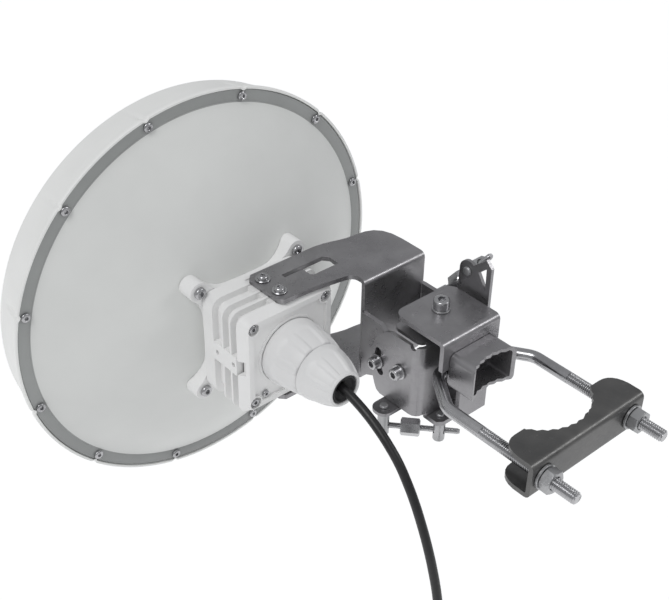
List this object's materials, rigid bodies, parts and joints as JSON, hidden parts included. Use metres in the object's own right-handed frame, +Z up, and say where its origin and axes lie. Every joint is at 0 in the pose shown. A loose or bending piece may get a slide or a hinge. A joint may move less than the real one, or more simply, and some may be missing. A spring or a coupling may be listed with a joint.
{
  "type": "outdoor wireless bridge",
  "caption": "Dish radio for a point-to-point link, with a finned housing, a sealed cable gland and a tilting, panning clamp that holds it to a pole.",
  "frame": {"origin": "on the axis of the pole that the clamp closes on, at the height of the U-bolt", "axes": "+Z up the pole, -Y the way the dish looks, +X toward the side that the dish is offset to"},
  "size_m": [0.355, 0.4417, 0.4679],
  "materials": {
    "white_plastic": "UV-stable white moulded plastic, lightly grained",
    "gland_plastic": "moulded light grey plastic",
    "dish_paint": "pale grey powder coat on spun aluminium",
    "radio_paint": "white powder coat on die-cast aluminium",
    "bracket_steel": "dark satin galvanised steel sheet",
    "bolt_steel": "plain stainless steel",
    "nut_steel": "matte zinc-plated steel",
    "black_rubber": "black sealing rubber",
    "black_jacket": "black outdoor cable jacket",
    "bare_aluminium": "bare aluminium",
    "board_green": "green printed circuit board",
    "feed_plastic": "off-white moulded plastic"
  },
  "bodies": {
    "pole_clamp": {"pole_bracket": "bracket_steel", "pole_saddle": "bracket_steel", "saddle_rivet_1": "bolt_steel", "saddle_rivet_2": "bolt_steel", "u_bolt": "bolt_steel", "azimuth_bolt": "bolt_steel", "azimuth_washer": "nut_steel", "azimuth_spacer": "bolt_steel", "azimuth_nut": "nut_steel", "lower_azimuth_bolt": "bolt_steel", "lower_azimuth_nut": "nut_steel"},
    "tilt_head": {"tilt_bracket": "bracket_steel"},
    "dish_radio": {"radome": "white_plastic", "rim_gasket": "black_rubber", "reflector": "dish_paint", "adapter_flange": "radio_paint", "backing_ring": "bare_aluminium", "flange_screw_1": "bolt_steel", "flange_screw_2": "bolt_steel", "flange_screw_3": "bolt_steel", "flange_screw_4": "bolt_steel", "radio_housing": "radio_paint", "cover_gasket": "black_rubber", "heat_spreader": "bare_aluminium", "radio_module": "bare_aluminium", "circuit_board": "board_green", "ethernet_jack": "black_rubber", "rear_cover": "radio_paint", "ground_screw": "bolt_steel", "gland_body": "gland_plastic", "gland_locknut": "nut_steel", "gland_seal": "black_rubber", "ethernet_plug": "feed_plastic", "feed_tube": "bare_aluminium", "feed_lens": "feed_plastic", "subreflector": "bare_aluminium", "arm_bracket": "bracket_steel", "arm_screw_top_1": "bolt_steel", "arm_screw_top_2": "bolt_steel", "arm_screw_bottom_1": "bolt_steel", "arm_screw_bottom_2": "bolt_steel", "elevation_pivot_bolt_near": "bolt_steel", "elevation_pivot_bolt_far": "bolt_steel", "elevation_lock_bolt_near": "bolt_steel", "elevation_lock_bolt_far": "bolt_steel", "ethernet_cable": "black_jacket", "cable_coil": "black_jacket", "end_plug": "feed_plastic"},
    "clamp_jaw": {"rear_jaw": "bracket_steel", "clamp_washer_left": "nut_steel", "clamp_washer_right": "nut_steel", "clamp_nut_left": "nut_steel", "clamp_nut_right": "nut_steel"},
    "cap": {"gland_cap": "gland_plastic"},
    "azimuth_near": {"azimuth_trunnion_near": "nut_steel"},
    "azimuth_far": {"azimuth_trunnion_far": "nut_steel"},
    "azimuth_screw": {"azimuth_adjuster": "bolt_steel"},
    "elevation_front": {"elevation_trunnion_front": "nut_steel"},
    "elevation_rear": {"elevation_trunnion_rear": "nut_steel"},
    "elevation_screw": {"elevation_adjuster": "bolt_steel"}
  },
  "joints": [
    {"name": "azimuth", "type": "hinge", "parent": "pole_clamp", "child": "tilt_head", "pos_m": [0, -0.097, 0], "axis": [0, 0, 1], "range_deg": [-5, 5]},
    {"name": "elevation", "type": "hinge", "parent": "tilt_head", "child": "dish_radio", "pos_m": [0, -0.1003, -0.0085], "axis": [1, 0, 0], "range_deg": [-15, 15]},
    {"name": "jaw_slide", "type": "slide", "parent": "pole_clamp", "child": "clamp_jaw", "axis": [0, 1, 0], "range_m": [-0.035, 0.016]},
    {"name": "gland_cap_turn", "type": "hinge", "parent": "dish_radio", "child": "cap", "pos_m": [0.093, -0.12, 0], "axis": [0, 1, 0], "continuous": true},
    {"name": "azimuth_near_pivot", "type": "hinge", "parent": "tilt_head", "child": "azimuth_near", "pos_m": [0.0464, -0.1076, -0.0635], "axis": [0, 0, 1], "range_deg": [-1, 1]},
    {"name": "azimuth_far_pivot", "type": "hinge", "parent": "pole_clamp", "child": "azimuth_far", "pos_m": [0.016, -0.074, -0.0635], "axis": [0, 0, 1], "range_deg": [-4.5, 4.5]},
    {"name": "azimuth_screw_turn", "type": "hinge", "parent": "azimuth_near", "child": "azimuth_screw", "pos_m": [0.0464, -0.1076, -0.0635], "axis": [-0.6709, 0.7415, 0], "range_deg": [-430, 430]},
    {"name": "elevation_front_pivot", "type": "hinge", "parent": "dish_radio", "child": "elevation_front", "pos_m": [-0.0468, -0.14, 0.008], "axis": [1, 0, 0], "range_deg": [-12.5, 12.5]},
    {"name": "elevation_rear_pivot", "type": "hinge", "parent": "tilt_head", "child": "elevation_rear", "pos_m": [-0.0468, -0.1038, 0.0535], "axis": [1, 0, 0], "range_deg": [-3, 3]},
    {"name": "elevation_screw_turn", "type": "hinge", "parent": "elevation_front", "child": "elevation_screw", "pos_m": [-0.0468, -0.14, 0.008], "axis": [0, 0.6226, 0.7825], "range_deg": [-1950, 1950]}
  ],
  "couplings": [
    {"joint": "azimuth_near_pivot", "follows": "azimuth", "ratio": -0.138},
    {"joint": "azimuth_far_pivot", "follows": "azimuth", "ratio": 0.862},
    {"joint": "azimuth_screw_turn", "follows": "azimuth", "ratio": 85.7},
    {"joint": "elevation_front_pivot", "follows": "elevation", "ratio": -0.809},
    {"joint": "elevation_rear_pivot", "follows": "elevation", "ratio": 0.191},
    {"joint": "elevation_screw_turn", "follows": "elevation", "ratio": 129}
  ]
}
